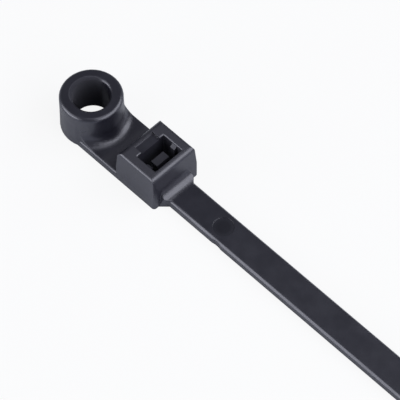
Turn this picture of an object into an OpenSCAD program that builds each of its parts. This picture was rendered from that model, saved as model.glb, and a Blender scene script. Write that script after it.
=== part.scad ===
// Screw-mount cable tie: eyelet, locking head and serrated strap, moulded as one piece.
// X runs along the strap, Y across it and Z up. The flat underside lies at Z = 0,
// and the origin is on the axis of the screw hole.

/* [Strap] */
// Width of the strap
strap_w = 5.1; // [3.6:0.1:7.6]
// Thickness of the strap
strap_t = 1.5; // [1.2:0.05:2]
// Length of the strap from the head to its tip
strap_l = 127; // [80:1:300]
// Rounding of the strap's upper long edges
strap_edge_r = 0.65; // [0.2:0.05:0.7]
// Rounding of the strap's lower long edges
strap_foot_r = 0.1; // [0.05:0.01:0.3]
// Length of the tapered tail at the tip
tail_l = 24; // [12:1:40]
// Width of the tail at the tip
tip_w = 3; // [2:0.1:3.4]

/* [Serrations] */
// Pitch of the teeth on the underside and on the pawl
tooth_pitch = 1.1; // [0.8:0.05:1.4]
// Depth of the teeth
tooth_depth = 0.48; // [0.3:0.02:0.6]
// Width of the toothed band between the smooth side rails
band_w = 3.2; // [2:0.1:3.4]
// Plain length between the head and the first tooth
plain_l = 9; // [6:0.5:20]

/* [Tail grip] */
// Number of grip grooves across the tail
grip_count = 9; // [4:1:14]
// Spacing of the grip grooves
grip_pitch = 1.6; // [1.2:0.1:2]
// Width of one grip groove
grip_w = 0.7; // [0.4:0.1:1]
// Depth of one grip groove
grip_depth = 0.22; // [0.1:0.02:0.4]

/* [Moulding marks] */
// Diameter of the round ejector mark on the strap's upper face
mark_d = 3.3; // [1.5:0.1:3.4]
// Depth of the ejector mark
mark_depth = 0.12; // [0.05:0.01:0.3]
// Distance of the ejector mark from the head
mark_x = 10; // [5:0.5:20]
// Length of the shallow gate mark on one side of the strap
gate_l = 2; // [1:0.1:3]
// Depth of the gate mark
gate_depth = 0.15; // [0.05:0.01:0.3]
// Distance of the gate mark from the head
gate_x = 11; // [5:0.5:20]

/* [Locking head] */
// Height of the head
head_h = 6.9; // [5.8:0.1:10]
// Wall between the slot and the eyelet side, at the base
rear_wall = 3; // [2.2:0.1:4]
// Wall between the slot and the strap side, at the base
front_wall = 1.55; // [1.4:0.05:2.5]
// Wall on each side of the slot, at the base
side_wall = 1.9; // [1.4:0.1:3]
// Lean of the eyelet-side face over the head's height
rear_lean = 0.45; // [0:0.05:1]
// Lean of the strap-side face over the head's height
front_lean = 0.45; // [0:0.05:0.9]
// Lean of each side face over the head's height
side_lean = 0.33; // [0:0.01:0.6]
// Rounding of the head's upper side edges
head_edge_r = 0.6; // [0.2:0.05:0.8]
// Rounding of the head's upper edge on the strap side
front_edge_r = 0.9; // [0.4:0.05:1]
// Rounding of the head's upper edge on the eyelet side
rear_edge_r = 1.2; // [0.4:0.05:1.4]
// Rounding of the head's upright edges
head_corner_r = 0.5; // [0.2:0.05:0.8]
// Hollow blend from the head's foot to the neck
head_fillet_r = 0.7; // [0.2:0.05:1]

/* [Slot] */
// Play of the strap's thickness in the slot
slot_play = 0.2; // [0.1:0.05:0.4]
// Play of the strap's width on each side of the slot
slot_side_play = 0.2; // [0.15:0.05:0.6]
// Rounding of the slot's upright corners
slot_corner_r = 0.3; // [0.1:0.05:0.5]
// Bevel around the slot's upper mouth
slot_bevel = 0.14; // [0.05:0.01:0.2]
// Bevel around the slot's lower mouth, where the tail enters
entry_bevel = 0.4; // [0.2:0.05:0.6]
// Width of the guide ramp in the slot's upper eyelet-side edge
ramp_w = 3.8; // [2:0.1:4.4]
// Length of the guide ramp
ramp_l = 1.5; // [0.8:0.05:1.6]
// Drop of the guide ramp at its far end
ramp_step = 0.35; // [0.2:0.05:0.6]
// Further drop of the guide ramp down to the slot
ramp_drop = 0.15; // [0.1:0.05:1]

/* [Pawl] */
// Width of the pawl
pawl_w = 2.5; // [1.6:0.1:3]
// Thickness of the pawl behind its teeth
pawl_t = 0.8; // [0.6:0.05:1.2]
// Depth of the pawl's tip below the head's upper face
pawl_drop = 1.5; // [0.8:0.1:2]
// Reach of the pawl's teeth into the strap's path
pawl_bite = 0.3; // [0.1:0.02:0.44]
// Free space behind the pawl for it to bend into
pawl_flex = 1.2; // [1:0.1:2]
// Space under the pawl's root
pawl_foot = 0.6; // [0.4:0.1:1]
// Height of the pawl's root on the front wall
pawl_root = 1.3; // [0.8:0.1:1.8]
// Width of the guide ribs beside the pawl
rib_w = 0.5; // [0.2:0.05:0.6]
// Length of the guide ribs along the slot
rib_l = 0.9; // [0.5:0.1:1.2]

/* [Strap root] */
// Hollow blend from the head down to the strap
root_fillet_r = 2; // [0.8:0.1:2.4]
// Widening of the strap on each side where it meets the head
root_flare = 1.15; // [0.4:0.05:1.4]
// Lean of the root's sides for each unit of height
root_lean = 0.32; // [0.1:0.01:0.5]

/* [Neck] */
// Thickness of the flat neck
neck_t = 1.4; // [1:0.05:2]
// Clear length of the neck between the eyelet and the head
neck_l = 4.8; // [3:0.05:10]
// Rounding of the neck's upper side edges
neck_edge_r = 0.4; // [0.1:0.05:0.6]

/* [Eyelet] */
// Outer diameter of the eyelet at its base
eyelet_d = 10; // [9:0.1:14]
// Lean of the eyelet's outside over its height
eyelet_lean = 0.1; // [0:0.02:0.3]
// Height of the eyelet
eyelet_h = 7.2; // [4:0.1:12]
// Diameter of the screw hole
hole_d = 5.9; // [3:0.1:7]
// Rounding of the hole's upper rim
hole_rim_r = 0.6; // [0.2:0.05:0.8]
// Rounding of the eyelet's upper outer edge
eyelet_edge_r = 0.7; // [0.2:0.05:0.9]
// Bevel of the eyelet's lower edges
eyelet_foot_bevel = 0.15; // [0.05:0.01:0.3]
// Hollow blend from the eyelet to the neck
eyelet_fillet_r = 1.8; // [0.5:0.1:2.2]

/* [Hidden] */
$fn = 64;
nylon = "#2c2c33";
// Depth by which joined shapes run into each other
bite = 0.2;
// Depth by which a hollow blend runs past the face it meets
blend_bite = 0.01;
// Depth by which a rounding runs past the leaning side it meets
corner_bite = 0.01;
eyelet_r = eyelet_d / 2;
hole_r = hole_d / 2;
slot_w = strap_w + 2 * slot_side_play;
head_w = slot_w + 2 * side_wall;
pawl_x = strap_t + slot_play - pawl_bite;
slot_l = pawl_x + tooth_depth + pawl_t + pawl_flex;
head_l = rear_wall + slot_l + front_wall;
head_x = eyelet_r + neck_l;
front_x = head_x + head_l;
slot_x = head_x + rear_wall;
slot_end_x = slot_x + slot_l;
tip_x = front_x + strap_l;
pawl_tip = head_h - pawl_drop;
pawl_teeth = floor((pawl_tip - pawl_foot - pawl_root) / tooth_pitch);
band_l = strap_l - plain_l - tail_l;
band_teeth = floor(band_l / tooth_pitch);

// Turns an outline drawn in X and Z into a bar of width w, centred on Y
module across(w) {
    rotate([90, 0, 0]) linear_extrude(w, center = true) children();
}

// Turns an outline drawn in Y and Z into a bar that runs from x0 to x1
module along(x0, x1) {
    translate([x0, 0, 0]) rotate([90, 0, 90]) linear_extrude(x1 - x0) children();
}

// Distance from a leaning side's upper end to the centre of its corner's rounding
function corner_inset(r, slope) = r * tan(45 - slope / 2) - corner_bite;

// Waste outside a rounded upper right corner, where the side leans by the angle slope
module corner_waste(r, slope = 0) {
    reach = r + bite;
    difference() {
        polygon([[0, 0], [reach * cos(slope), reach * sin(slope)], [reach, reach], [0, reach]]);
        circle(r);
    }
}

// Rectangle with round corners, centred on its middle
module round_rect(l, w, r) {
    square([l - 2 * r, w], center = true);
    square([l, w - 2 * r], center = true);
    for (sx = [-1, 1], sy = [-1, 1])
        translate([sx * (l / 2 - r), sy * (w / 2 - r)]) circle(r);
}

// Cross-section of the head, with sides that lean above the neck
module head_section() {
    top_w = head_w - 2 * side_lean;
    polygon([[-head_w / 2, 0], [head_w / 2, 0], [head_w / 2, neck_t], [top_w / 2, head_h],
        [-top_w / 2, head_h], [-head_w / 2, neck_t]]);
}

// The same section with its upper corners rounded
module rounded_head_section() {
    slope = atan2(side_lean, head_h - neck_t);
    centre_y = head_w / 2 - side_lean - corner_inset(head_edge_r, slope);
    difference() {
        head_section();
        for (side = [0, 1]) mirror([side, 0])
            translate([centre_y, head_h - head_edge_r]) corner_waste(head_edge_r, slope);
    }
}

// Outline of the head seen from the side
module head_side() {
    rear_top = head_x + rear_lean;
    front_top = front_x - front_lean;
    rear_slope = atan2(rear_lean, head_h);
    front_slope = atan2(front_lean, head_h);
    difference() {
        polygon([[head_x, 0], [front_x, 0], [front_top, head_h], [rear_top, head_h]]);
        translate([front_top - corner_inset(front_edge_r, front_slope), head_h - front_edge_r])
            corner_waste(front_edge_r, front_slope);
        translate([rear_top + corner_inset(rear_edge_r, rear_slope), head_h - rear_edge_r])
            mirror([1, 0]) corner_waste(rear_edge_r, rear_slope);
    }
}

// Outer form of the head
module head_block() {
    intersection() {
        across(head_w + bite) head_side();
        along(head_x - bite, front_x + bite) rounded_head_section();
        translate([head_x + head_l / 2, 0, 0]) linear_extrude(head_h + bite)
            round_rect(head_l, head_w, head_corner_r);
    }
}

// Cross-section of the neck, flush with the sides of the head, with rounded upper edges
module neck_section() {
    difference() {
        translate([-head_w / 2, 0]) square([head_w, neck_t]);
        for (side = [0, 1]) mirror([side, 0])
            translate([head_w / 2 - corner_inset(neck_edge_r, 0), neck_t - neck_edge_r])
                corner_waste(neck_edge_r);
    }
}

// Space that the hollow blends on the neck may fill, inside its rounded edges
module neck_limit() {
    w = head_w - neck_edge_r;
    along(0, head_x + head_l / 2) translate([-w / 2, 0]) square([w, head_h]);
}

// Flat neck and its blend up to the head
module neck() {
    blend_top = neck_t + head_fillet_r;
    face_x = head_x + rear_lean * blend_top / head_h;
    along(0, head_x + head_l / 2) neck_section();
    intersection() {
        neck_limit();
        across(head_w) difference() {
            translate([face_x - head_fillet_r, neck_t - bite])
                square([head_fillet_r + bite, head_fillet_r + bite]);
            translate([face_x - head_fillet_r + blend_bite, blend_top - blend_bite]) circle(head_fillet_r);
        }
    }
}

// Wall of the eyelet from the hole to the outside, as a half section
module eyelet_section() {
    top_r = eyelet_r - eyelet_lean;
    slope = atan2(eyelet_lean, eyelet_h);
    difference() {
        polygon([[hole_r, 0], [eyelet_r, 0], [top_r, eyelet_h], [hole_r, eyelet_h]]);
        translate([top_r - corner_inset(eyelet_edge_r, slope), eyelet_h - eyelet_edge_r])
            corner_waste(eyelet_edge_r, slope);
        translate([hole_r + hole_rim_r, eyelet_h - hole_rim_r]) mirror([1, 0]) corner_waste(hole_rim_r);
        polygon([[eyelet_r - eyelet_foot_bevel - bite, -bite], [eyelet_r + bite, -bite],
            [eyelet_r + bite, eyelet_foot_bevel + bite]]);
    }
}

// Hollow blend round the foot of the eyelet, kept to the neck's width
module eyelet_blend() {
    blend_top = neck_t + eyelet_fillet_r;
    wall_r = eyelet_r - eyelet_lean * blend_top / eyelet_h;
    foot = wall_r + eyelet_fillet_r;
    intersection() {
        neck_limit();
        rotate_extrude() difference() {
            translate([wall_r - bite, neck_t - bite])
                square([eyelet_fillet_r + bite, eyelet_fillet_r + bite]);
            translate([foot - blend_bite, blend_top - blend_bite]) circle(eyelet_fillet_r);
            translate([foot - bite / 2, neck_t - bite]) square([bite, eyelet_fillet_r + bite]);
        }
    }
}

// Straight passage for the tail, with bevelled mouths
module slot() {
    mid_x = slot_x + slot_l / 2;
    translate([mid_x, 0, -bite]) linear_extrude(head_h + 2 * bite)
        round_rect(slot_l, slot_w, slot_corner_r);
    mouth(slot_bevel, head_h, 1);
    mouth(entry_bevel, 0, -1);
}

// Bevel round one mouth of the slot, opening upwards or downwards
module mouth(bevel, level, way) {
    reach = bevel + bite;
    translate([slot_x + slot_l / 2, 0, level]) intersection() {
        across(slot_w + 2 * reach) bevel_outline(slot_l, bevel, way);
        along(-slot_l / 2 - reach, slot_l / 2 + reach) bevel_outline(slot_w, bevel, way);
    }
}

// Flared outline of a mouth of the given width
module bevel_outline(w, bevel, way) {
    polygon([[-w / 2, -way * bevel], [w / 2, -way * bevel],
        [w / 2 + bevel + bite, way * bite], [-w / 2 - bevel - bite, way * bite]]);
}

// Guide ramp cut into the eyelet-side edge of the slot
module guide_ramp() {
    low = head_h - ramp_step;
    across(ramp_w) polygon([[slot_x - ramp_l, low], [slot_x + bite, low - ramp_drop],
        [slot_x + bite, head_h + bite], [slot_x - ramp_l + bite / 2, head_h + bite]]);
}

// Flexible tongue with ratchet teeth, rooted on the front wall of the slot
module pawl() {
    crest = slot_x + pawl_x;
    root = crest + tooth_depth;
    back = root + pawl_t;
    wall = slot_end_x + bite;
    shelf = pawl_foot + pawl_root;
    first = pawl_tip - pawl_teeth * tooth_pitch;
    teeth = [for (i = [0 : pawl_teeth - 1], p = [[root, 0], [crest, 0.85], [crest, 1]])
        [p[0], first + (i + p[1]) * tooth_pitch]];
    across(pawl_w) polygon(concat(
        [[wall, pawl_foot], [root + pawl_t / 2, pawl_foot], [root, shelf]],
        teeth,
        [[back, pawl_tip], [back + pawl_t / 2, shelf + pawl_root / 2], [wall, shelf]]));
}

// Upright ribs that keep the strap in its lane beside the pawl
module guide_ribs() {
    lane = slot_x + strap_t + slot_play + bite;
    wall = slot_w / 2;
    top = head_h - 2 * slot_bevel;
    for (side = [0, 1]) mirror([0, side, 0]) along(lane, lane + rib_l)
        polygon([[wall + bite, entry_bevel], [wall - rib_w, entry_bevel + rib_w], [wall - rib_w, top - rib_w],
            [wall, top], [wall + bite, top]]);
}

// Strap seen from above, with its tapered tail and round tip
module strap_plan() {
    start_x = front_x - front_wall / 2;
    polygon([[start_x, -strap_w / 2], [tip_x - tail_l, -strap_w / 2], [tip_x - tip_w / 2, -tip_w / 2],
        [tip_x - tip_w / 2, tip_w / 2], [tip_x - tail_l, strap_w / 2], [start_x, strap_w / 2]]);
    translate([tip_x - tip_w / 2, 0]) circle(tip_w / 2);
}

// Saw-tooth spaces in the strap's underside, steep towards the head
module serrations() {
    start_x = front_x + plain_l;
    comb = [for (i = [0 : band_teeth - 1], p = [[0.12, 0], [1, tooth_depth], [1, 0]])
        [start_x + (i + p[0]) * tooth_pitch, p[1]]];
    across(band_w) polygon(concat([[start_x, -bite]], [[start_x, 0]], comb,
        [[start_x + band_teeth * tooth_pitch, -bite]]));
}

// Grooves across the tail's upper face for the fingers
module grip_grooves() {
    last_x = tip_x - tip_w;
    for (i = [0 : grip_count - 1])
        translate([last_x - i * grip_pitch - grip_w, -strap_w, strap_t - grip_depth])
            cube([grip_w, 2 * strap_w, grip_depth + bite]);
}

// Marks left in the strap by the mould
module moulding_marks() {
    scoop_r = gate_l * gate_l / (8 * gate_depth) + gate_depth / 2;
    translate([front_x + mark_x, 0, strap_t - mark_depth]) cylinder(h = mark_depth + bite, d = mark_d);
    translate([front_x + gate_x, gate_depth - strap_w / 2 - scoop_r, -bite])
        cylinder(h = strap_t + 2 * bite, r = scoop_r);
}

// Cross-section of the strap, rounder along its upper edges
module strap_section() {
    difference() {
        translate([0, strap_t / 2]) round_rect(strap_w, strap_t, strap_foot_r);
        for (side = [0, 1]) mirror([side, 0])
            translate([strap_w / 2 - corner_inset(strap_edge_r, 0), strap_t - strap_edge_r])
                corner_waste(strap_edge_r);
    }
}

// Serrated strap with its tail
module strap() {
    difference() {
        intersection() {
            linear_extrude(strap_t + bite) strap_plan();
            along(front_x - front_wall, tip_x + bite) strap_section();
        }
        serrations();
        grip_grooves();
        moulding_marks();
    }
}

// Flared foot that carries the strap's load into the head
module strap_root() {
    rise = strap_t + root_fillet_r;
    face_x = front_x - front_lean * rise / head_h;
    end_x = face_x + root_fillet_r - blend_bite;
    wide = strap_w / 2 + root_flare;
    end_w = wide + front_x - end_x;
    start_x = front_x - front_wall / 2;
    intersection() {
        across(head_w) difference() {
            translate([start_x, 0]) square([end_x - start_x, rise - blend_bite]);
            translate([end_x, rise - blend_bite]) circle(root_fillet_r);
        }
        along(front_x - front_wall, end_x + bite)
            polygon([[-wide, 0], [wide, 0], [wide - root_lean * rise, rise],
                [root_lean * rise - wide, rise]]);
        linear_extrude(rise) polygon([[front_x - front_wall, -wide], [front_x, -wide],
            [end_x, -end_w], [end_x, end_w], [front_x, wide], [front_x - front_wall, wide]]);
    }
}

// The whole tie, moulded in one piece
module cable_tie() {
    color(nylon) {
        difference() {
            union() {
                head_block();
                neck();
                eyelet_blend();
                cylinder(h = neck_t, r = eyelet_r - eyelet_foot_bevel);
                strap_root();
                strap();
            }
            slot();
            guide_ramp();
            translate([0, 0, -bite]) cylinder(h = eyelet_h + 2 * bite, r = hole_r);
        }
        rotate_extrude() eyelet_section();
        pawl();
        guide_ribs();
    }
}

cable_tie();
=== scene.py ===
"""Screw mount cable tie: the moulding's finish, a white studio and the camera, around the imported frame."""
import logging
import math
from dataclasses import dataclass, field
from enum import Enum

import bmesh
import bpy
from mathutils import Matrix, Vector


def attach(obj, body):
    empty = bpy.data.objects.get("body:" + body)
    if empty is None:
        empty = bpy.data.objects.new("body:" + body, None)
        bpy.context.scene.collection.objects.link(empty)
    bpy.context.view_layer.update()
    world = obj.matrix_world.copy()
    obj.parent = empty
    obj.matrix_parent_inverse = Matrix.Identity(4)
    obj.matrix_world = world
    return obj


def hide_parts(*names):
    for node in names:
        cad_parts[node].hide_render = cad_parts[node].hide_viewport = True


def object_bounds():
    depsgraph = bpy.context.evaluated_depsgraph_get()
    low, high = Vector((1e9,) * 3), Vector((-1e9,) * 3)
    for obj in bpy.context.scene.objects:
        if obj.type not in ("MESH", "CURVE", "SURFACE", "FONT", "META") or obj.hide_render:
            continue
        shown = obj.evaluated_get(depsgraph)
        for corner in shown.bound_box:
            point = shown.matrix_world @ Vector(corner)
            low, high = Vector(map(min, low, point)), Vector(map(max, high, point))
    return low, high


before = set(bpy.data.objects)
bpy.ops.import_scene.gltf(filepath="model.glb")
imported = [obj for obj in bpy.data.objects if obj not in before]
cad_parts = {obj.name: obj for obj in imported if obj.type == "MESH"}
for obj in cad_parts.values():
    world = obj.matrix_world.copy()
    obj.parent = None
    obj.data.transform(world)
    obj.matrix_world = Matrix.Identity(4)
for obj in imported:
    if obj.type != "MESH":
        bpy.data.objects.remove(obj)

LOG = logging.getLogger("cable_tie")
CAD_BOX = [list(corner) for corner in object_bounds()]
MM = 0.001                # metres in a millimetre
TOUCH = 0.001 * MM        # points closer than this are one point
ON_PLANE = 0.0001 * MM    # points closer to a cut than this lie on it
FLAT = math.radians(0.1)  # faces that meet at less than this are one face
PIN_X = 28.23             # middle of the round mark on the strap, in millimetres along X
# BLACK is the colour that the round mark's painted shade darkens towards.
BLACK = (0.0, 0.0, 0.0, 1.0)

Colour = tuple[float, float, float]
Span = tuple[float, float]
Setting = float | int | bool | tuple | list | bpy.types.NodeSocket | bpy.types.Material
Inputs = dict[str | int, Setting]


class Direction(Enum):
    """Where a softbox stands round the tie, as azimuth and elevation in degrees."""

    FRONT_LEFT = (-28.0, 36.0)
    FRONT_LOW = (-24.0, 12.0)
    BACK_RIGHT = (118.0, 37.0)
    OVERHEAD = (98.0, 72.0)


def outward(azimuth: float, elevation: float) -> Vector:
    """Give the direction from the tie towards what stands round it.

    Args:
        azimuth: Degrees round the tie from its -Y side.
        elevation: Degrees above the floor.

    Returns:
        The direction, with a length of 1.
    """
    turn, lift = math.radians(azimuth), math.radians(elevation)
    return Vector((math.sin(turn) * math.cos(lift), -math.cos(turn) * math.cos(lift), math.sin(lift)))


class NodeWriter:
    """Adds nodes to a tree and links them.

    Attributes:
        tree: The tree.
    """

    def __init__(self, tree: bpy.types.NodeTree) -> None:
        """Take a tree to add to.

        Args:
            tree: The tree.
        """
        self.tree = tree

    def add(self, kind: str, inputs: Inputs | None = None, **choices: Setting) -> bpy.types.Node:
        """Add a node.

        Args:
            kind: The node's type.
            inputs: What goes into its sockets: a value, another node's socket or a list of such sockets.
            **choices: The node's own settings.

        Returns:
            The node.
        """
        node = self.tree.nodes.new(kind)
        for name, choice in choices.items():
            setattr(node, name, choice)
        self.feed(node, inputs or {})
        return node

    def feed(self, node: bpy.types.Node, inputs: Inputs) -> None:
        """Give a node's sockets their values or links.

        Args:
            node: The node.
            inputs: A value, another node's socket or a list of such sockets for each socket.
        """
        for name, value in inputs.items():
            socket = node.inputs[name]
            if isinstance(value, bpy.types.NodeSocket):
                self.tree.links.new(value, socket)
            elif isinstance(value, list):
                for source in value:
                    self.tree.links.new(source, socket)
            else:
                socket.default_value = value

    def node(self, kind: str, inputs: Inputs | None = None, **choices: Setting) -> bpy.types.NodeSocket:
        """Add a node and give its first output.

        Args:
            kind: The node's type.
            inputs: What goes into its sockets.
            **choices: The node's own settings.

        Returns:
            The node's first output.
        """
        return self.add(kind, inputs, **choices).outputs[0]

    def sum(self, operation: str, *values: Setting) -> bpy.types.NodeSocket:
        """Work out one step of arithmetic.

        Args:
            operation: The name of the step.
            *values: Numbers or sockets.

        Returns:
            The socket of the result.
        """
        return self.node("ShaderNodeMath", dict(enumerate(values)), operation=operation)

    def parts(self, vector: bpy.types.NodeSocket) -> tuple[bpy.types.NodeSocket, ...]:
        """Give the sockets of a vector's X, Y and Z."""
        return tuple(self.add("ShaderNodeSeparateXYZ", {"Vector": vector}).outputs)

    def mix(self, share: bpy.types.NodeSocket, first: Setting, second: Setting) -> bpy.types.NodeSocket:
        """Mix two colours.

        Args:
            share: The socket of the second one's share.
            first: The first colour.
            second: The second colour.

        Returns:
            The socket of the mixed colour.
        """
        mixed = self.add("ShaderNodeMix", {"Factor": share, "A": first, "B": second}, data_type="RGBA")
        return mixed.outputs["Result"]

    def rise(self, value: bpy.types.NodeSocket, span: Span, top: float = 1.0) -> bpy.types.NodeSocket:
        """Go smoothly from 0 to a top value while another value goes over a span.

        Args:
            value: The socket of that other value.
            span: Where the rise starts and ends.
            top: The value at its end.

        Returns:
            The socket of the result.
        """
        return self.node("ShaderNodeMapRange", {
            "Value": value, "From Min": span[0], "From Max": span[1], "To Min": 0.0, "To Max": top},
            interpolation_type="SMOOTHSTEP")


@dataclass(frozen=True)
class SlotInside:
    """The inside of the head's slot, where the nylon is duller and its edges stay crisp.

    Places are in millimetres. A span says where a rise starts and where it ends.

    Attributes:
        start: Span along X where the duller nylon starts.
        lip: Span along X where the crisp edges start.
        end: Span along X towards the other end.
        side: Span of the distance from the middle over which its sides count.
        height: Span of height over which it counts.
        rough: Extra roughness.
    """

    start: Span = (12.75, 12.85)
    lip: Span = (12.35, 12.55)
    end: Span = (16.9, 16.7)
    side: Span = (3.0, 2.8)
    height: Span = (6.75, 6.6)
    rough: float = 0.25

    def mask(self, tree: NodeWriter, place: bpy.types.NodeSocket, start: Span) -> bpy.types.NodeSocket:
        """Tell the inside from the rest.

        Args:
            tree: The material's nodes.
            place: The place on the tie in millimetres.
            start: Span along X where the inside starts.

        Returns:
            The socket of a value that is 1 inside and 0 outside.
        """
        along, side, height = tree.parts(place)
        within = tree.sum("MULTIPLY", tree.rise(along, start), tree.rise(along, self.end))
        below = tree.sum("MULTIPLY", tree.rise(tree.sum("ABSOLUTE", side), self.side),
                         tree.rise(height, self.height))
        return tree.sum("MULTIPLY", within, below)


@dataclass(frozen=True)
class PinMark:
    """The round mark from the mould on the strap, which is smoother than the nylon round it and gets painted
    shade that darkens its colour.

    Lengths are in millimetres. A span says where a rise starts and where it ends.

    Attributes:
        place: Its middle along X.
        reach: Span of distance from there over which its floor counts.
        rim: Span of distance from there over which its edge counts.
        smooth: By how much the roughness falls.
        painted_shade: Share by which painted shade darkens the colour towards black.
        crisp: Share by which the edge catches less light than others.
    """

    place: float = PIN_X
    reach: Span = (1.75, 0.8)
    rim: Span = (2.1, 1.9)
    smooth: float = 0.14
    painted_shade: float = 0.32
    crisp: float = 0.6

    def mask(self, tree: NodeWriter, place: bpy.types.NodeSocket, reach: Span) -> bpy.types.NodeSocket:
        """Tell the mark from the rest.

        Args:
            tree: The material's nodes.
            place: The place on the tie in millimetres.
            reach: Span of distance from the mark's middle.

        Returns:
            The socket of a value that is 1 in the mark's middle and 0 outside.
        """
        flat = tree.node("ShaderNodeVectorMath", {0: place, 1: (1.0, 1.0, 0.0)}, operation="MULTIPLY")
        away = tree.add("ShaderNodeVectorMath", {0: flat, 1: (self.place, 0.0, 0.0)}, operation="DISTANCE")
        return tree.rise(away.outputs["Value"], reach)


@dataclass(frozen=True)
class DullFaces:
    """Faces that the mould leaves duller: upper ones beyond the eyelet, and the hole's rim on its far side.

    Heights and places along X are in millimetres. A span says where a rise starts and where it ends.

    Attributes:
        upward: Span of the normal's upward share on upper faces.
        neck_height: Span of height over which the neck's upper face counts.
        head_height: Span of height over which the head's upper face counts.
        neck_start: Span along X where the neck starts.
        head_end: Span along X where the head ends.
        strap_run: Span along X over which the strap grows dull.
        rim_facing: Span of the normal's share along X on the rim.
        rim_side: Span along X of the rim's far side.
        neck: Extra roughness of the neck.
        head: Extra roughness of the head.
        strap: Extra roughness of the strap.
        rim: Extra roughness of the rim.
    """

    upward: Span = (0.93, 0.985)
    neck_height: Span = (2.2, 1.6)
    head_height: Span = (6.7, 6.85)
    neck_start: Span = (6.0, 8.0)
    head_end: Span = (18.0, 19.5)
    strap_run: Span = (20.0, 37.0)
    rim_facing: Span = (0.1, 0.35)
    rim_side: Span = (0.5, -1.5)
    neck: float = 0.38
    head: float = 0.38
    strap: float = 0.10
    rim: float = 0.65

    def roughness(self, tree: NodeWriter, place: bpy.types.NodeSocket,
                  normal: bpy.types.NodeSocket) -> bpy.types.NodeSocket:
        """Work out the extra roughness.

        Args:
            tree: The material's nodes.
            place: The place on the tie in millimetres.
            normal: The surface's direction there.

        Returns:
            The socket of the extra roughness.
        """
        along, _, height = tree.parts(place)
        ahead, _, up = tree.parts(normal)
        level = tree.sum("ADD", tree.rise(height, self.neck_height, self.neck),
                         tree.rise(height, self.head_height, self.head))
        behind = tree.sum("SUBTRACT", tree.rise(along, self.neck_start), tree.rise(along, self.head_end))
        tops = tree.sum("MULTIPLY_ADD", level, behind, tree.rise(along, self.strap_run, self.strap))
        rim = tree.sum("MULTIPLY", tree.rise(ahead, self.rim_facing),
                       tree.rise(along, self.rim_side, self.rim))
        return tree.sum("MULTIPLY_ADD", tree.rise(up, self.upward), tops, rim)


@dataclass(frozen=True)
class SatinNylon:
    """Black moulded nylon: satin gloss, faint grain and slightly uneven flow.

    Lengths are in millimetres.

    Attributes:
        dark: Linear colour of the darker flow streaks.
        light: Linear colour of the paler flow streaks.
        flow: Size of the flow streaks.
        flow_detail: Steps of finer detail in the streaks.
        flow_range: Range of the streaks' noise over which the gloss changes.
        gloss: Roughness of the smoothest and of the dullest streaks.
        grain: Size of the fine surface grain.
        grain_detail: Steps of finer detail in the grain.
        grain_depth: Height of the grain.
        grain_share: Share of that height that shows.
        edge: Radius over which sharp edges catch the light.
        edge_samples: Rays that look for such an edge.
        ior: Index of refraction, raised a little above that of bare nylon for its polished skin.
        reflection: Tint of the reflections.
        dull: The duller faces.
        slot: The inside of the slot.
        pin: The round mark on the strap.
    """

    dark: Colour = (0.0080, 0.0080, 0.0130)
    light: Colour = (0.0120, 0.0120, 0.0190)
    flow: float = 2.6
    flow_detail: float = 3.0
    flow_range: Span = (0.3, 0.7)
    gloss: Span = (0.27, 0.37)
    grain: float = 0.22
    grain_detail: float = 2.0
    grain_depth: float = 0.004
    grain_share: float = 0.5
    edge: float = 0.18
    edge_samples: int = 6
    ior: float = 1.70
    reflection: Colour = (0.86, 0.87, 1.0)
    dull: DullFaces = DullFaces()
    slot: SlotInside = SlotInside()
    pin: PinMark = PinMark()

    def material(self) -> bpy.types.Material:
        """Build the material.

        Returns:
            The finished node material.
        """
        mat = bpy.data.materials.new("satin_nylon")
        mat.use_nodes = True
        tree = NodeWriter(mat.node_tree)
        coords = tree.add("ShaderNodeTexCoord").outputs
        place = tree.node("ShaderNodeVectorMath", {0: coords["Object"], 1: (1 / MM,) * 3},
                          operation="MULTIPLY")
        flow = tree.node("ShaderNodeTexNoise", {
            "Vector": place, "Scale": 1 / self.flow, "Detail": self.flow_detail})
        pin = self.pin.mask(tree, place, self.pin.reach)
        tint = tree.mix(flow, (*self.dark, 1.0), (*self.light, 1.0))
        # Painted shade: the colour darkens towards black inside the round mark.
        tint = tree.mix(tree.sum("MULTIPLY", pin, self.pin.painted_shade), tint, BLACK)
        gloss = tree.node("ShaderNodeMapRange", {
            "Value": flow, "From Min": self.flow_range[0], "From Max": self.flow_range[1],
            "To Min": self.gloss[0], "To Max": self.gloss[1]})
        grain = tree.node("ShaderNodeTexNoise", {
            "Vector": place, "Scale": 1 / self.grain, "Detail": self.grain_detail})
        crisp = tree.sum("MULTIPLY", self.pin.mask(tree, place, self.pin.rim), self.pin.crisp)
        crisp = tree.sum("MAXIMUM", crisp, self.slot.mask(tree, place, self.slot.lip))
        edge = tree.sum("MULTIPLY_ADD", crisp, -self.edge * MM, self.edge * MM)
        soft = tree.node("ShaderNodeBevel", {"Radius": edge}, samples=self.edge_samples)
        bump = tree.node("ShaderNodeBump", {
            "Strength": self.grain_share, "Distance": self.grain_depth * MM, "Height": grain, "Normal": soft})
        dull = tree.sum("ADD", gloss, self.dull.roughness(tree, place, coords["Normal"]))
        dull = tree.sum("MULTIPLY_ADD", self.slot.mask(tree, place, self.slot.start), self.slot.rough, dull)
        tree.feed(mat.node_tree.nodes["Principled BSDF"], {
            "Base Color": tint,
            "Roughness": tree.sum("MULTIPLY_ADD", pin, -self.pin.smooth, dull),
            "IOR": self.ior, "Specular Tint": (*self.reflection, 1.0), "Normal": bump})
        return mat


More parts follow.
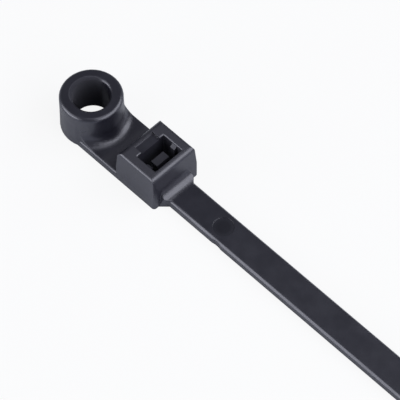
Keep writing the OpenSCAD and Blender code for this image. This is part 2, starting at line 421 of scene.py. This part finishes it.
@dataclass(frozen=True)
class WhiteSweep:
    """White paper under the tie, which stays white to the camera and in reflections but takes the shadow.

    Attributes:
        paper: Linear colour of the paper in the light.
        share: Share of plain white in what the camera sees.
        mirrored: Share of plain white in what reflections see.
        shade_reach: Distance in millimetres over which the tie shades the white that it reflects.
    """

    paper: Colour = (0.62, 0.64, 0.70)
    share: float = 0.88
    mirrored: float = 0.08
    shade_reach: float = 18.0

    def material(self) -> bpy.types.Material:
        """Build the material.

        Returns:
            The finished node material.
        """
        mat = bpy.data.materials.new("white_sweep")
        mat.use_nodes = True
        mat.node_tree.nodes.clear()
        tree = NodeWriter(mat.node_tree)
        rays = tree.add("ShaderNodeLightPath").outputs
        painted_shade = tree.add("ShaderNodeAmbientOcclusion", {"Distance": self.shade_reach * MM}).outputs["AO"]
        paper = tree.node("ShaderNodeBsdfDiffuse", {"Color": (*self.paper, 1.0)})
        white = tree.node("ShaderNodeEmission", {
            "Strength": tree.sum("MAXIMUM", rays["Is Camera Ray"], painted_shade)})
        mirror = tree.sum("MAXIMUM", rays["Is Glossy Ray"], rays["Is Transmission Ray"])
        seen = tree.sum("MAXIMUM", tree.sum("MULTIPLY", rays["Is Camera Ray"], self.share),
                        tree.sum("MULTIPLY", mirror, self.mirrored))
        both = tree.node("ShaderNodeMixShader", {0: seen, 1: paper, 2: white})
        tree.add("ShaderNodeOutputMaterial", {"Surface": both})
        return mat


class Socket(Enum):
    """Kinds of named input that a tree of nodes takes."""

    LENGTH = "NodeSocketFloat"
    COUNT = "NodeSocketInt"
    FINISH = "NodeSocketMaterial"


class TreeWriter(NodeWriter):
    """Writes one Geometry Nodes tree with named inputs for its sizes.

    Attributes:
        given: The socket of the geometry that the tree starts from.
    """

    def __init__(self, name: str) -> None:
        """Start a tree that takes geometry and gives geometry.

        Args:
            name: The tree's name.
        """
        super().__init__(bpy.data.node_groups.new(name, "GeometryNodeTree"))
        self.tree.interface.new_socket("Geometry", in_out="INPUT", socket_type="NodeSocketGeometry")
        self.tree.interface.new_socket("Geometry", in_out="OUTPUT", socket_type="NodeSocketGeometry")
        self._inputs = self.add("NodeGroupInput")
        self._values: dict[str, Setting] = {}
        self.given = self._inputs.outputs["Geometry"]

    def named(self, name: str, value: Setting, kind: Socket = Socket.LENGTH) -> bpy.types.NodeSocket:
        """Add a named input to the tree.

        Args:
            name: The input's name.
            value: The value that it gets.
            kind: What it holds.

        Returns:
            The socket that gives the value inside the tree.
        """
        item = self.tree.interface.new_socket(name, in_out="INPUT", socket_type=kind.value)
        self._values[item.identifier] = value
        return self._inputs.outputs[name]

    def point(self, x: Setting, y: Setting, z: Setting) -> bpy.types.NodeSocket:
        """Join three numbers or sockets into a point."""
        return self.node("ShaderNodeCombineXYZ", {"X": x, "Y": y, "Z": z})

    def spot(self) -> tuple[bpy.types.NodeSocket, ...]:
        """Give the sockets of the X, Y and Z of each vertex."""
        return self.parts(self.node("GeometryNodeInputPosition"))

    def mesh(self, made: bpy.types.NodeSocket, finish: bpy.types.Material,
             start: bpy.types.Mesh) -> bpy.types.Mesh:
        """Close the tree and turn its result into a plain mesh.

        Args:
            made: The geometry that the tree gives.
            finish: The material of all its faces.
            start: The mesh that the tree starts from.

        Returns:
            The plain mesh.
        """
        whole = self.node("GeometryNodeRealizeInstances", {"Geometry": made})
        coat = self.named("Finish", finish, Socket.FINISH)
        dressed = self.node("GeometryNodeSetMaterial", {"Geometry": whole, "Material": coat})
        self.add("NodeGroupOutput", {"Geometry": dressed})
        carrier = bpy.data.objects.new(self.tree.name, start)
        bpy.context.scene.collection.objects.link(carrier)
        rule = carrier.modifiers.new(self.tree.name, "NODES")
        rule.node_group = self.tree
        for identifier, value in self._values.items():
            rule[identifier] = value
        result = bpy.data.meshes.new_from_object(carrier.evaluated_get(bpy.context.evaluated_depsgraph_get()))
        carrier.modifiers.remove(rule)
        bpy.data.objects.remove(carrier)
        return result


@dataclass
class SerratedStrap:
    """The strap by rule: the head's own section drawn out to the tail, with its rows of teeth and grooves.

    Lengths are in millimetres and places are along X.

    Attributes:
        start: Where it takes over from the head's piece.
        tip: End of the tail.
        width: Width of the straight part.
        thickness: Thickness.
        edge: Radius of the upper edges.
        bevel: Angles in degrees from upright between which a bevel flattens that rounding.
        bevel_run: Length over which the bevel sets in.
        tail: Length of the tapered tail.
        tip_width: Width of the round tip.
        blunt: Share of that width at which the tip ends.
        first_tooth: Start of the first tooth.
        pitch: Spacing of the teeth.
        crest: Share of the spacing that stays flat.
        root: Share of a tooth's length that is flat at its root.
        depth: Depth of the teeth.
        teeth: Number of teeth.
        band: Width of the toothed band.
        grips: Number of grip grooves on the tail.
        grip_pitch: Spacing of the grooves.
        grip_width: Width of one groove.
        grip_depth: Depth of one groove.
        mark: Place, width and depth of the round mark from the mould.
        gate: Place, length and depth of the gate mark on one edge.
        mark_sides: Number of sides of the round mark.
        gate_sides: Number of sides of the drum that cuts the gate mark.
        gate_height: Height of that drum in strap thicknesses.
        skin: How far the cutters of the teeth stand out of the underside.
        steps: Number of sections along the strap.
        crowding: How much the sections crowd towards the tip.
    """

    start: float = 21.5
    tip: float = 145.23
    width: float = 5.1
    thickness: float = 1.5
    edge: float = 0.65
    bevel: Span = (38.0, 71.0)
    bevel_run: float = 3.0
    tail: float = 24.0
    tip_width: float = 3.0
    blunt: float = 0.045
    first_tooth: float = 27.23
    pitch: float = 1.1
    crest: float = 0.12
    root: float = 0.03
    depth: float = 0.48
    teeth: int = 85
    band: float = 3.2
    grips: int = 9
    grip_pitch: float = 1.6
    grip_width: float = 0.7
    grip_depth: float = 0.22
    mark: tuple[float, float, float] = (PIN_X, 3.3, 0.12)
    gate: tuple[float, float, float] = (29.23, 2.0, 0.15)
    mark_sides: int = 64
    gate_sides: int = 160
    gate_height: float = 4.0
    skin: float = 0.05
    steps: int = 140
    crowding: float = 1.6

    def build(self, section: bpy.types.Mesh, finish: bpy.types.Material) -> bpy.types.Mesh:
        """Make the strap.

        Args:
            section: The loop that it is drawn out of, with Y and Z laid in the plane of X and Y.
            finish: The nylon.

        Returns:
            The strap as a closed mesh.
        """
        tree = TreeWriter("serrated_strap")
        width = tree.named("Width", self.width * MM)
        tip = tree.named("Tip", self.tip * MM)
        top = tree.named("Thickness", self.thickness * MM)
        bar = self._bar(tree, width, tip, top)
        cuts = [self._teeth(tree), self._grips(tree, width, tip, top), *self._marks(tree, width, top)]
        cut = tree.node("GeometryNodeMeshBoolean", {"Mesh 1": bar, "Mesh 2": cuts},
                        operation="DIFFERENCE", solver="MANIFOLD")
        return tree.mesh(cut, finish, section)

    def _bar(self, tree: TreeWriter, width: bpy.types.NodeSocket, tip: bpy.types.NodeSocket,
             top: bpy.types.NodeSocket) -> bpy.types.NodeSocket:
        """Draw the section out along X and taper it to a round tip.

        Args:
            tree: The tree.
            width: The strap's width.
            tip: The tail's end.
            top: The strap's thickness.

        Returns:
            The plain bar.
        """
        start = tree.named("Start", self.start * MM)
        tail = tree.named("Tail length", self.tail * MM)
        round_r = tree.sum("MULTIPLY", tree.named("Tip width", self.tip_width * MM), 0.5)
        line = tree.node("GeometryNodeCurvePrimitiveLine", {"Start": (0.0, 0.0, 0.0), "End": (0.0, 0.0, 1.0)})
        path = tree.node("GeometryNodeResampleCurve",
                         {"Curve": line, "Count": tree.named("Sections", self.steps, Socket.COUNT)})
        loop = tree.node("GeometryNodeMeshToCurve", {"Mesh": tree.given})
        bar = tree.node("GeometryNodeCurveToMesh", {"Curve": path, "Profile Curve": loop, "Fill Caps": True})
        side, up, share = tree.spot()
        length = tree.sum("SUBTRACT", tip, start)
        left = tree.sum("POWER", tree.sum("SUBTRACT", 1.0, share), tree.named("Crowding", self.crowding))
        away = tree.sum("MULTIPLY", left, length)
        set_in = tree.node("ShaderNodeMapRange", {
            "Value": tree.sum("SUBTRACT", length, away), "From Min": 0.0,
            "From Max": tree.named("Bevel run", self.bevel_run * MM), "To Min": 0.0, "To Max": 1.0})
        side, up = self._bevelled(tree, (side, up), (width, top), set_in)
        half = tree.node("ShaderNodeMapRange", {
            "Value": away, "From Min": round_r, "From Max": tail, "To Min": round_r,
            "To Max": tree.sum("MULTIPLY", width, 0.5)})
        over = tree.sum("MAXIMUM", tree.sum("SUBTRACT", 1.0, tree.sum("DIVIDE", away, round_r)), 0.0)
        turn = tree.sum("SQRT", tree.sum("SUBTRACT", 1.0, tree.sum("POWER", over, 2.0)))
        turn = tree.sum("MAXIMUM", turn, self.blunt)
        slim = tree.sum("DIVIDE", tree.sum("MULTIPLY", half, turn), tree.sum("MULTIPLY", width, 0.5))
        place = tree.point(tree.sum("SUBTRACT", tip, away), tree.sum("MULTIPLY", side, slim), up)
        return tree.node("GeometryNodeSetPosition", {"Geometry": bar, "Position": place})

    def _bevelled(self, tree: TreeWriter, place: tuple[bpy.types.NodeSocket, bpy.types.NodeSocket],
                  size: tuple[bpy.types.NodeSocket, bpy.types.NodeSocket],
                  set_in: bpy.types.NodeSocket) -> tuple[bpy.types.NodeSocket, bpy.types.NodeSocket]:
        """Flatten the rounding of the upper edges into a bevel.

        Args:
            tree: The tree.
            place: Where a point is across the strap and up.
            size: The strap's width and thickness.
            set_in: How far the bevel has set in, from 0 to 1.

        Returns:
            Where the point goes, across the strap and up.
        """
        low, high = (math.radians(angle) for angle in self.bevel)
        lean, half = (low + high) / 2, (high - low) / 2
        radius = tree.named("Edge radius", self.edge * MM)
        core = tree.sum("SUBTRACT", tree.sum("MULTIPLY", size[0], 0.5), radius)
        base = tree.sum("SUBTRACT", size[1], radius)
        out = tree.sum("SUBTRACT", tree.sum("ABSOLUTE", place[0]), core)
        rise = tree.sum("SUBTRACT", place[1], base)
        reach = tree.sum("MULTIPLY_ADD", out, math.sin(lean), tree.sum("MULTIPLY", rise, math.cos(lean)))
        flat = tree.sum("MULTIPLY", radius, math.cos(half))
        keep = tree.sum("DIVIDE", flat, tree.sum("MAXIMUM", reach, flat))
        keep = tree.sum("MULTIPLY_ADD", set_in, tree.sum("SUBTRACT", keep, 1.0), 1.0)
        side = tree.sum("MULTIPLY", tree.sum("SIGN", place[0]), tree.sum("MULTIPLY_ADD", out, keep, core))
        return side, tree.sum("MULTIPLY_ADD", rise, keep, base)

    def _row(self, tree: TreeWriter, shape: bpy.types.NodeSocket, count: bpy.types.NodeSocket,
             start: bpy.types.NodeSocket, step: bpy.types.NodeSocket) -> bpy.types.NodeSocket:
        """Repeat a shape along X.

        Args:
            tree: The tree.
            shape: The shape.
            count: How often it is repeated.
            start: The point of the first one.
            step: The distance to the next one.

        Returns:
            The row, as real geometry.
        """
        line = tree.node("GeometryNodeMeshLine", {
            "Count": count, "Start Location": start, "Offset": tree.point(step, 0.0, 0.0)})
        row = tree.node("GeometryNodeInstanceOnPoints", {"Points": line, "Instance": shape})
        return tree.node("GeometryNodeRealizeInstances", {"Geometry": row})

    def _teeth(self, tree: TreeWriter) -> bpy.types.NodeSocket:
        """Make the row of wedges that cut the teeth.

        Args:
            tree: The tree.

        Returns:
            The row of wedges.
        """
        pitch = tree.named("Tooth pitch", self.pitch * MM)
        depth = tree.named("Tooth depth", self.depth * MM)
        first = tree.named("First tooth", (self.first_tooth + self.crest * self.pitch) * MM)
        length = tree.sum("MULTIPLY", pitch, 1.0 - self.crest)
        skin = self.skin * MM
        along, side, up = tree.spot()
        low = tree.sum("LESS_THAN", up, 0.0)
        foot = tree.sum("MULTIPLY", length, tree.sum("ADD", 1.0 - self.root, tree.sum("DIVIDE", skin, depth)))
        reach = tree.sum("MULTIPLY_ADD", low, foot, tree.sum("MULTIPLY", length, self.root))
        x = tree.sum("SUBTRACT", length, tree.sum("MULTIPLY", tree.sum("SUBTRACT", 0.5, along), reach))
        z = tree.sum("SUBTRACT", depth, tree.sum("MULTIPLY", low, tree.sum("ADD", depth, skin)))
        y = tree.sum("MULTIPLY", side, tree.named("Band width", self.band * MM))
        cube = tree.node("GeometryNodeMeshCube", {"Size": (1.0, 1.0, 1.0)})
        wedge = tree.node("GeometryNodeSetPosition", {"Geometry": cube, "Position": tree.point(x, y, z)})
        count = tree.named("Tooth count", self.teeth, Socket.COUNT)
        return self._row(tree, wedge, count, tree.point(first, 0.0, 0.0), pitch)

    def _grips(self, tree: TreeWriter, width: bpy.types.NodeSocket, tip: bpy.types.NodeSocket,
               top: bpy.types.NodeSocket) -> bpy.types.NodeSocket:
        """Make the row of bars that cut the grip grooves into the tail.

        Args:
            tree: The tree.
            width: The strap's width.
            tip: The tail's end.
            top: The strap's thickness.

        Returns:
            The row of bars.
        """
        groove = tree.named("Groove width", self.grip_width * MM)
        depth = tree.named("Groove depth", self.grip_depth * MM)
        size = tree.point(groove, tree.sum("MULTIPLY", width, 2.0), tree.sum("MULTIPLY", depth, 2.0))
        cube = tree.node("GeometryNodeMeshCube", {"Size": size})
        last = tree.sum("SUBTRACT", tip, tree.sum("MULTIPLY_ADD", groove, 0.5, self.tip_width * MM))
        count = tree.named("Groove count", self.grips, Socket.COUNT)
        step = tree.sum("MULTIPLY", tree.named("Groove pitch", self.grip_pitch * MM), -1.0)
        return self._row(tree, cube, count, tree.point(last, 0.0, top), step)

    def _marks(self, tree: TreeWriter, width: bpy.types.NodeSocket,
               top: bpy.types.NodeSocket) -> list[bpy.types.NodeSocket]:
        """Make the round mark and the gate mark.

        Args:
            tree: The tree.
            width: The strap's width.
            top: The strap's thickness.

        Returns:
            The two cutting shapes.
        """
        place, across, depth = (value * MM for value in self.mark)
        disc = tree.node("GeometryNodeMeshCylinder", {
            "Vertices": self.mark_sides, "Radius": tree.named("Mark radius", across / 2),
            "Depth": tree.sum("MULTIPLY", tree.named("Mark depth", depth), 2.0)})
        mark = tree.node("GeometryNodeTransform", {
            "Geometry": disc, "Translation": tree.point(tree.named("Mark place", place), 0.0, top)})
        place, length, depth = (value * MM for value in self.gate)
        # The drum whose arc is as long and as deep as the gate mark.
        radius = length * length / (8 * depth) + depth / 2
        drum = tree.node("GeometryNodeMeshCylinder", {
            "Vertices": self.gate_sides, "Radius": tree.named("Gate radius", radius),
            "Depth": tree.sum("MULTIPLY", top, self.gate_height)})
        beside = tree.sum("MULTIPLY_ADD", width, -0.5, depth - radius)
        gate = tree.node("GeometryNodeTransform", {
            "Geometry": drum, "Translation": tree.point(tree.named("Gate place", place), beside, 0.0)})
        return [mark, gate]


@dataclass
class Moulding:
    """The tie itself: eyelet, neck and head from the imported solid, with the strap drawn out of their cut end.

    Attributes:
        sharp_from: Angle in degrees above which an edge stays sharp.
        cell: Spacing in millimetres of the cuts that keep the shading of long faces even.
        round_to: X in millimetres up to which the eyelet's round wall gets level cuts only.
        strap: The strap.
        finish: The nylon's finish.
    """

    sharp_from: float = 24.0
    cell: float = 1.0
    round_to: float = 1.5
    strap: SerratedStrap = field(default_factory=SerratedStrap)
    finish: SatinNylon = SatinNylon()

    def build(self) -> bpy.types.Object:
        """Make the visible piece.

        Returns:
            The piece, at the origin with its place in its mesh.
        """
        nylon = self.finish.material()
        bm, section = self._front_end()
        self._weld(bm, self.strap.build(section, nylon))
        self._divide(bm)
        self._crease(bm)
        mesh = bpy.data.meshes.new("tie_moulding")
        bm.to_mesh(mesh)
        bm.free()
        mesh.materials.append(nylon)
        return self._shade(mesh)

    def _front_end(self) -> tuple[bmesh.types.BMesh, bpy.types.Mesh]:
        """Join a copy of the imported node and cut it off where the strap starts.

        Returns:
            The eyelet, neck and head, and the loop of the cut laid flat.
        """
        bm = bmesh.new()
        bm.from_mesh(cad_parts["cable_tie"].data)
        bmesh.ops.remove_doubles(bm, verts=bm.verts, dist=TOUCH)
        bmesh.ops.dissolve_degenerate(bm, edges=bm.edges, dist=TOUCH)
        bmesh.ops.dissolve_limit(bm, angle_limit=FLAT, verts=bm.verts, edges=bm.edges)
        cut = bmesh.ops.bisect_plane(bm, geom=bm.verts[:] + bm.edges[:] + bm.faces[:], dist=ON_PLANE,
                                     plane_co=(self.strap.start * MM, 0.0, 0.0), plane_no=(1.0, 0.0, 0.0),
                                     clear_outer=True)["geom_cut"]
        corners = [item for item in cut if isinstance(item, bmesh.types.BMVert)]
        number = {corner: index for index, corner in enumerate(corners)}
        sides = [tuple(number[corner] for corner in item.verts) for item in cut
                 if isinstance(item, bmesh.types.BMEdge)]
        section = bpy.data.meshes.new("strap_section")
        section.from_pydata([(corner.co.y, corner.co.z, 0.0) for corner in corners], sides, [])
        return bm, section

    def _weld(self, bm: bmesh.types.BMesh, strap: bpy.types.Mesh) -> None:
        """Join the strap to the cut end as one closed skin.

        Args:
            bm: The eyelet, neck and head, to which the strap is added.
            strap: The strap.
        """
        bm.from_mesh(strap)
        start = self.strap.start * MM
        caps = [face for face in bm.faces if all(abs(corner.co.x - start) < TOUCH for corner in face.verts)]
        bmesh.ops.delete(bm, geom=caps, context="FACES_ONLY")
        bmesh.ops.remove_doubles(bm, verts=bm.verts, dist=TOUCH)
        bmesh.ops.recalc_face_normals(bm, faces=bm.faces)
        loose = sum(1 for edge in bm.edges if len(edge.link_faces) != 2)
        LOG.info("moulding: %d faces, %d open edges", len(bm.faces), loose)

    def _divide(self, bm: bmesh.types.BMesh) -> None:
        """Cut long faces into cells, so that a rounding's shading doesn't hang on its far ends.

        Args:
            bm: The welded moulding.
        """
        cell, start = self.cell * MM, self.strap.start * MM
        for axis, (low, high) in enumerate(zip(*CAD_BOX)):
            normal = Vector((axis == 0, axis == 1, axis == 2))
            first = -math.inf if axis == 2 else self.round_to * MM
            for step in range(round((min(high, start) - low) / cell)):
                near = [face for face in bm.faces if first < face.calc_center_bounds().x < start]
                parts = {item for face in near for item in (*face.verts, *face.edges)}
                bmesh.ops.bisect_plane(bm, geom=[*near, *parts], dist=ON_PLANE,
                                       plane_co=normal * (low + (step + 0.5) * cell), plane_no=normal)

    def _crease(self, bm: bmesh.types.BMesh) -> None:
        """Shade the faces smoothly and keep the steep edges between them sharp.

        Args:
            bm: The divided moulding.
        """
        bm.normal_update()
        for face in bm.faces:
            face.smooth = True
        for edge in bm.edges:
            edge.smooth = edge.calc_face_angle(0.0) <= math.radians(self.sharp_from)

    def _shade(self, mesh: bpy.types.Mesh) -> bpy.types.Object:
        """Let large flat faces lead the shading of the roundings beside them.

        Args:
            mesh: The moulding's mesh.

        Returns:
            The piece with its shading in its mesh.
        """
        piece = bpy.data.objects.new("tie_moulding", mesh)
        bpy.context.scene.collection.objects.link(piece)
        shading = piece.modifiers.new("flat_faces", "WEIGHTED_NORMAL")
        shading.mode = "FACE_AREA"
        shading.keep_sharp = True
        baked = bpy.data.meshes.new_from_object(piece.evaluated_get(bpy.context.evaluated_depsgraph_get()))
        piece.modifiers.remove(shading)
        piece.data = baked
        return piece

    def dress(self, piece: bpy.types.Object) -> None:
        """Give the piece its place in the frame.

        Args:
            piece: The piece that build made.
        """
        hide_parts("cable_tie")
        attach(piece, "root")


@dataclass(frozen=True)
class Softbox:
    """A soft lamp that faces the tie.

    Attributes:
        direction: Where it stands.
        width: Width in metres.
        height: Height in metres.
        power: Power in watts.
        distance: Distance from the tie in metres.
    """

    direction: Direction
    width: float
    height: float
    power: float
    distance: float = 0.6

    def build(self, aim: Vector) -> bpy.types.Object:
        """Make the lamp.

        Args:
            aim: The point that it faces.

        Returns:
            The lamp's object.
        """
        back = outward(*self.direction.value)
        lamp = bpy.data.lights.new(f"softbox_{self.direction.name.lower()}", "AREA")
        lamp.shape = "RECTANGLE"
        lamp.size = self.width
        lamp.size_y = self.height
        lamp.energy = self.power
        piece = bpy.data.objects.new(lamp.name, lamp)
        piece.location = aim + back * self.distance
        piece.rotation_euler = back.to_track_quat("Z", "Y").to_euler()
        bpy.context.scene.collection.objects.link(piece)
        return piece


@dataclass
class Studio:
    """White floor, soft lamps and an even surround.

    Attributes:
        floor_side: Side of the floor in metres.
        floor_gap: Gap in millimetres between the floor and the tie.
        surround: Strength of the surround's light on the tie.
        tint: Linear colour of that light.
        aim: Point in metres that the lamps face.
        lamps: The lamps.
        finish: The floor's finish.
    """

    floor_side: float = 8.0
    floor_gap: float = 0.02
    surround: float = 0.21
    tint: Colour = (0.94, 0.96, 1.0)
    aim: tuple[float, float, float] = (0.02, 0.0, 0.002)
    lamps: tuple[Softbox, ...] = (
        Softbox(Direction.FRONT_LEFT, width=0.45, height=0.32, power=0.85),
        Softbox(Direction.FRONT_LOW, width=0.70, height=0.25, power=2.5),
        Softbox(Direction.BACK_RIGHT, width=1.05, height=0.50, power=5.5),
        Softbox(Direction.OVERHEAD, width=0.32, height=0.32, power=0.50),
    )
    finish: WhiteSweep = WhiteSweep()

    def build(self) -> None:
        """Make the floor, the lamps and the world."""
        self._floor()
        for lamp in self.lamps:
            lamp.build(Vector(self.aim))
        self._world()

    def _floor(self) -> None:
        """Lay the floor just under the tie."""
        half = self.floor_side / 2
        mesh = bpy.data.meshes.new("floor")
        mesh.from_pydata([(-half, -half, 0.0), (half, -half, 0.0), (half, half, 0.0), (-half, half, 0.0)],
                         [], [(0, 1, 2, 3)])
        mesh.transform(Matrix.Translation((0.0, 0.0, -self.floor_gap * MM)))
        mesh.materials.append(self.finish.material())
        floor = bpy.data.objects.new("floor", mesh)
        bpy.context.scene.collection.objects.link(floor)

    def _world(self) -> None:
        """Give the surround its light and keep it white to the camera."""
        world = bpy.data.worlds.new("surround")
        bpy.context.scene.world = world
        world.use_nodes = True
        tree = NodeWriter(world.node_tree)
        camera = tree.add("ShaderNodeLightPath").outputs["Is Camera Ray"]
        level = tree.sum("MULTIPLY_ADD", camera, 1.0 - self.surround, self.surround)
        tree.feed(world.node_tree.nodes["Background"], {"Color": (*self.tint, 1.0), "Strength": level})


@dataclass(frozen=True)
class PhotoCamera:
    """The camera as fitted to the photograph.

    Attributes:
        azimuth: Degrees round the tie from its -Y side.
        elevation: Degrees above the floor.
        distance: Metres from the tie along the view.
        across: Metres by which the view's centre lies to the right of the origin.
        along: Metres by which it lies above the origin, in the picture.
        focal: Focal length in pixels of the square picture.
        picture: Side of the picture in pixels.
        sensor: Sensor width in millimetres.
        near: Metres from which the camera sees.
    """

    azimuth: float = 45.206
    elevation: float = 57.139
    distance: float = 0.400
    across: float = 0.016410
    along: float = -0.012052
    focal: float = 2614.607
    picture: float = 400.0
    sensor: float = 36.0
    near: float = 0.01

    def build(self) -> bpy.types.Object:
        """Make the camera and set it as the scene's.

        Returns:
            The camera's object.
        """
        back = outward(self.azimuth, self.elevation)
        right = outward(self.azimuth + 90.0, 0.0)
        up = back.cross(right)
        lens = bpy.data.cameras.new("photo_camera")
        lens.sensor_width = self.sensor
        lens.lens = self.focal / self.picture * self.sensor
        lens.clip_start = self.near
        camera = bpy.data.objects.new("photo_camera", lens)
        camera.matrix_world = Matrix((right, up, back)).transposed().to_4x4()
        camera.location = back * self.distance + right * self.across + up * self.along
        bpy.context.scene.collection.objects.link(camera)
        bpy.context.scene.camera = camera
        return camera


def main() -> None:
    """Build the camera, the tie and the studio."""
    logging.basicConfig(level=logging.INFO, format="%(name)s: %(message)s")
    bpy.context.scene.view_settings.view_transform = "Standard"
    PhotoCamera().build()
    moulding = Moulding()
    piece = moulding.build()
    moulding.dress(piece)
    LOG.info("%s: %d faces", piece.name, len(piece.data.polygons))
    Studio().build()


if __name__ == "__main__":
    main()
